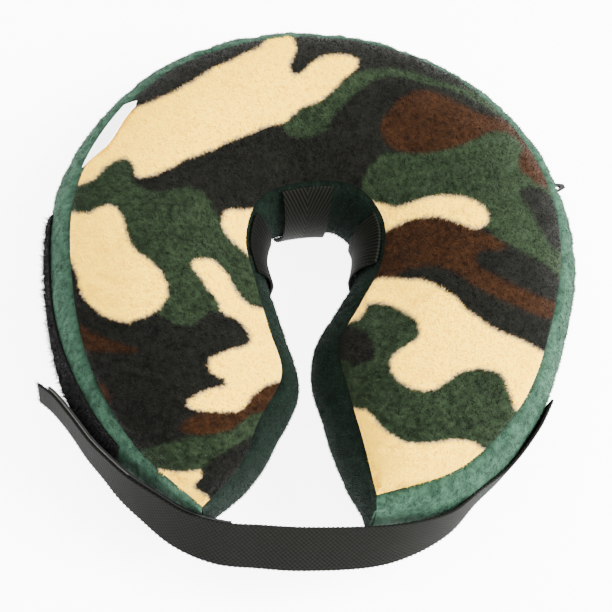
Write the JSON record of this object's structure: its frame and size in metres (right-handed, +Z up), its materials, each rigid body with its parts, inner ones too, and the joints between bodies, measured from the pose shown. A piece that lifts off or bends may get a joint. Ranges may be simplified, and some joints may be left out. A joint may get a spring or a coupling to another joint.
{
  "type": "inflatable pet recovery collar",
  "caption": "C-shaped inflatable pet recovery collar with a plush cover, a webbing closure strap across its gap and webbing loops in the neck hole.",
  "frame": {"origin": "under the middle of the collar's bounding box, on the surface it lies on", "axes": "+Z up through the neck hole, the gap towards -Y, the strap's free end towards -X"},
  "size_m": [0.2807, 0.2994, 0.0835],
  "materials": {
    "camouflage_fleece": "short pile fleece in a woodland camouflage of cream, green, brown and charcoal",
    "green_plush": "short brushed plush, dark green",
    "bladder_film": "smooth flexible film",
    "black_webbing": "woven black webbing",
    "hook_tape": "moulded hooks",
    "loop_tape": "fuzzy loop pile",
    "label_ribbon": "smooth white ribbon, blank",
    "zip_chain": "zip tape and teeth",
    "zip_metal": "dark coated metal, worn at its edges"
  },
  "bodies": {
    "collar": {"top_panel": "camouflage_fleece", "bottom_panel": "green_plush", "outer_band": "green_plush", "inner_band": "green_plush", "air_bladder": "bladder_film", "closure_strap": "black_webbing", "hook_tape": "hook_tape", "loop_tape": "loop_tape", "collar_loop_left": "black_webbing", "collar_loop_back": "black_webbing", "collar_loop_right": "black_webbing", "seam_label": "label_ribbon", "zip_chain": "zip_chain", "zip_slider": "zip_metal"},
    "zip_pull": {"zip_pull": "zip_metal"}
  },
  "joints": [
    {"name": "zip_pull_swing", "type": "hinge", "parent": "collar", "child": "zip_pull", "pos_m": [0.11874, 0.09434, 0.01885], "axis": [-0.3717, -0.2645, -0.8899], "range_deg": [-70, 70]}
  ]
}
